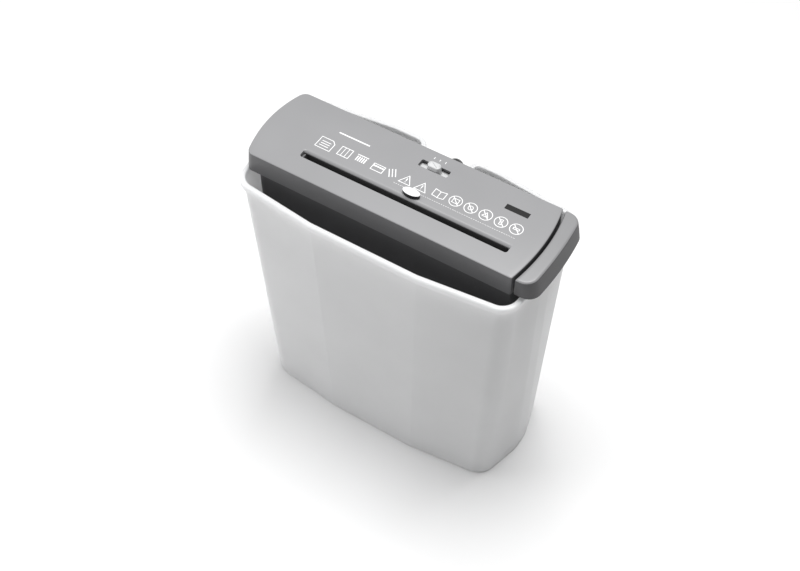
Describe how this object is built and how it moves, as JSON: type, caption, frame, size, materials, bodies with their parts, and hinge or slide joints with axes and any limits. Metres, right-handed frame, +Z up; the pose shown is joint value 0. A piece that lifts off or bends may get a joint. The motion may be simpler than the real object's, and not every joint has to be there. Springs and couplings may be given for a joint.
{
  "type": "paper shredder",
  "caption": "Strip-cut paper shredder: a cutting head with a feed slot and slide switch that stands on the rim of a tapered waste bin.",
  "frame": {"origin": "on the floor, under the middle of the object's box without its mains lead", "axes": "+X along the width towards the grip, +Y from the front to the back, +Z up"},
  "size_m": [0.3171, 0.2615, 0.3352],
  "materials": {
    "bin_plastic": "satin",
    "cover_plastic": "satin",
    "housing_plastic": "satin",
    "black_plastic": "satin",
    "white_plastic": "gloss",
    "natural_nylon": "satin",
    "plated_steel": "satin",
    "cutter_steel": "oiled",
    "bronze": "satin",
    "copper_winding": "satin",
    "magnet_ferrite": "matt",
    "board_green": "satin",
    "relay_blue": "satin",
    "capacitor_yellow": "satin",
    "led_green": "gloss",
    "tape_tan": "matt",
    "cord_pvc": "matt"
  },
  "bodies": {
    "bin": {"waste_bin": "bin_plastic", "power_cord": "cord_pvc", "cord_coil": "cord_pvc", "plug_lead": "cord_pvc", "mains_plug": "cord_pvc", "plug_pins": "plated_steel"},
    "head": {"top_cover": "cover_plastic", "lower_housing": "housing_plastic", "end_grip": "cover_plastic", "throat_guide": "black_plastic", "indicator_lens": "white_plastic", "mode_switch": "black_plastic", "cover_screws": "plated_steel", "left_frame_plate": "plated_steel", "right_frame_plate": "plated_steel", "frame_screws": "plated_steel", "tie_rods": "plated_steel", "tie_rod_nuts": "plated_steel", "shaft_bushings": "bronze", "front_stripper_comb": "natural_nylon", "rear_stripper_comb": "natural_nylon", "gear_pins": "plated_steel", "gear_cover_plate": "plated_steel", "motor_can": "plated_steel", "motor_end_cap": "black_plastic", "motor_magnets": "magnet_ferrite", "motor_screws": "plated_steel", "thermal_cutout": "tape_tan", "control_board": "board_green", "board_screws": "plated_steel", "motor_relay": "relay_blue", "suppression_capacitor": "capacitor_yellow", "bridge_rectifier": "black_plastic", "terminal_block": "relay_blue", "status_led": "led_green", "sensor_axle": "plated_steel", "sensor_spring": "plated_steel", "sensor_microswitch": "black_plastic", "interlock_microswitch": "black_plastic", "cord_boot": "cord_pvc", "cord_clamp": "natural_nylon", "clamp_screws": "plated_steel", "inner_lead": "cord_pvc"},
    "mode_slider": {"mode_knob": "white_plastic"},
    "front_cutter": {"front_cutter_shaft": "plated_steel", "front_cutter_discs": "cutter_steel", "front_spacers": "cutter_steel", "front_sync_gear": "cutter_steel"},
    "rear_cutter": {"rear_cutter_shaft": "plated_steel", "rear_cutter_discs": "cutter_steel", "rear_spacers": "cutter_steel", "rear_sync_gear": "cutter_steel", "cutter_drive_gear": "cutter_steel"},
    "second_gear": {"second_reduction_gear": "natural_nylon"},
    "first_gear": {"first_reduction_gear": "natural_nylon"},
    "motor_rotor": {"motor_armature": "copper_winding", "motor_pinion": "bronze"},
    "sensor_lever": {"paper_sensor_lever": "natural_nylon"},
    "plunger": {"interlock_plunger": "natural_nylon"}
  },
  "joints": [
    {"name": "head_lift", "type": "slide", "parent": "bin", "child": "head", "axis": [0, 0, 1], "range_m": [0, 0.12]},
    {"name": "mode_slide", "type": "slide", "parent": "head", "child": "mode_slider", "axis": [1, 0, 0], "range_m": [-0.006, 0.006]},
    {"name": "motor_spin", "type": "hinge", "parent": "head", "child": "motor_rotor", "pos_m": [0, 0.021, 0.301], "axis": [1, 0, 0], "continuous": true},
    {"name": "first_gear_spin", "type": "hinge", "parent": "head", "child": "first_gear", "pos_m": [0, 0.01981, 0.27828], "axis": [1, 0, 0], "continuous": true},
    {"name": "second_gear_spin", "type": "hinge", "parent": "head", "child": "second_gear", "pos_m": [0, 0.00331, 0.29854], "axis": [1, 0, 0], "continuous": true},
    {"name": "rear_cutter_spin", "type": "hinge", "parent": "head", "child": "rear_cutter", "pos_m": [0, -0.00625, 0.27], "axis": [1, 0, 0], "continuous": true},
    {"name": "front_cutter_spin", "type": "hinge", "parent": "head", "child": "front_cutter", "pos_m": [0, -0.02875, 0.27], "axis": [1, 0, 0], "continuous": true},
    {"name": "sensor_tilt", "type": "hinge", "parent": "head", "child": "sensor_lever", "pos_m": [0.003, -0.009, 0.306], "axis": [1, 0, 0], "range_deg": [0, 30], "stiffness_Nm_per_rad": 0.004, "springref_deg": -11.46},
    {"name": "interlock_press", "type": "slide", "parent": "head", "child": "plunger", "axis": [0, 0, 1], "range_m": [0, 0.0025], "stiffness_N_per_m": 300}
  ],
  "couplings": [
    {"joint": "first_gear_spin", "follows": "motor_spin", "ratio": -0.16667},
    {"joint": "second_gear_spin", "follows": "motor_spin", "ratio": 0.041667},
    {"joint": "rear_cutter_spin", "follows": "motor_spin", "ratio": -0.014323},
    {"joint": "front_cutter_spin", "follows": "motor_spin", "ratio": 0.014323}
  ]
}
